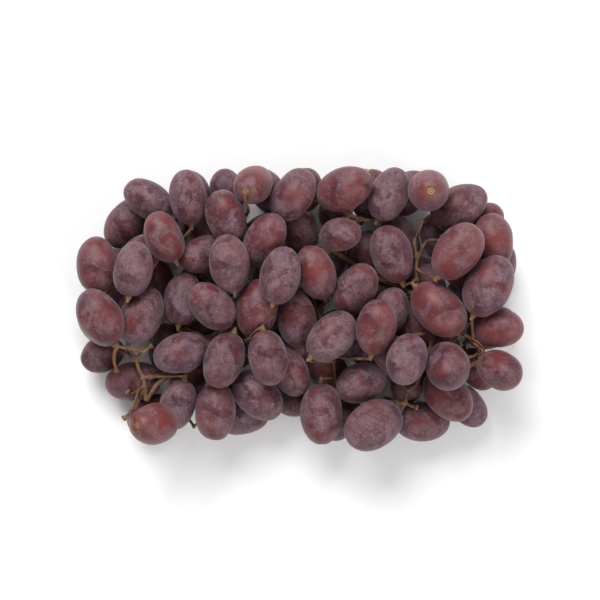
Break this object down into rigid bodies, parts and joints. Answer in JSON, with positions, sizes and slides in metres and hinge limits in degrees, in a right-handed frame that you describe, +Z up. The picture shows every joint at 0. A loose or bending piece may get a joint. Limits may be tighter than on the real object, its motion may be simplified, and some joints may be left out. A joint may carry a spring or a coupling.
{
  "type": "bunch of grapes",
  "caption": "Bunch of oval red seedless table grapes on a branching stem, lying down on a flat surface.",
  "frame": {"origin": "middle of the bunch's bounding box, on the surface that it lies on", "axes": "+X along the bunch's longest side, +Y across it, +Z up from the surface"},
  "size_m": [0.2008, 0.1276, 0.0545],
  "materials": {
    "grape_skin": "dark red to purple skin under a grey-lilac waxy bloom",
    "stem": "matt green-brown stem with woody joints"
  },
  "bodies": {
    "root": {"berry_01": "grape_skin", "berry_02": "grape_skin", "berry_03": "grape_skin", "berry_04": "grape_skin", "berry_05": "grape_skin", "berry_06": "grape_skin", "berry_07": "grape_skin", "berry_08": "grape_skin", "berry_09": "grape_skin", "berry_10": "grape_skin", "berry_11": "grape_skin", "berry_12": "grape_skin", "berry_13": "grape_skin", "berry_14": "grape_skin", "berry_15": "grape_skin", "berry_16": "grape_skin", "berry_17": "grape_skin", "berry_18": "grape_skin", "berry_19": "grape_skin", "berry_20": "grape_skin", "berry_21": "grape_skin", "berry_22": "grape_skin", "berry_23": "grape_skin", "berry_24": "grape_skin", "berry_25": "grape_skin", "berry_26": "grape_skin", "berry_27": "grape_skin", "berry_28": "grape_skin", "berry_29": "grape_skin", "berry_30": "grape_skin", "berry_31": "grape_skin", "berry_32": "grape_skin", "berry_33": "grape_skin", "berry_34": "grape_skin", "berry_35": "grape_skin", "berry_36": "grape_skin", "berry_37": "grape_skin", "berry_38": "grape_skin", "berry_39": "grape_skin", "berry_40": "grape_skin", "berry_41": "grape_skin", "berry_42": "grape_skin", "berry_43": "grape_skin", "berry_44": "grape_skin", "berry_45": "grape_skin", "berry_46": "grape_skin", "berry_47": "grape_skin", "berry_48": "grape_skin", "rachis": "stem", "shoulder": "stem", "spray_bottom_left": "grape_skin", "spray_bottom_middle": "grape_skin", "spray_left_end": "grape_skin", "spray_left_middle": "grape_skin", "spray_left_top": "grape_skin", "spray_right_bottom": "grape_skin", "spray_right_end": "grape_skin", "spray_right_top": "grape_skin", "spray_top_left": "grape_skin", "spray_top_right": "grape_skin"}
  },
  "joints": []
}
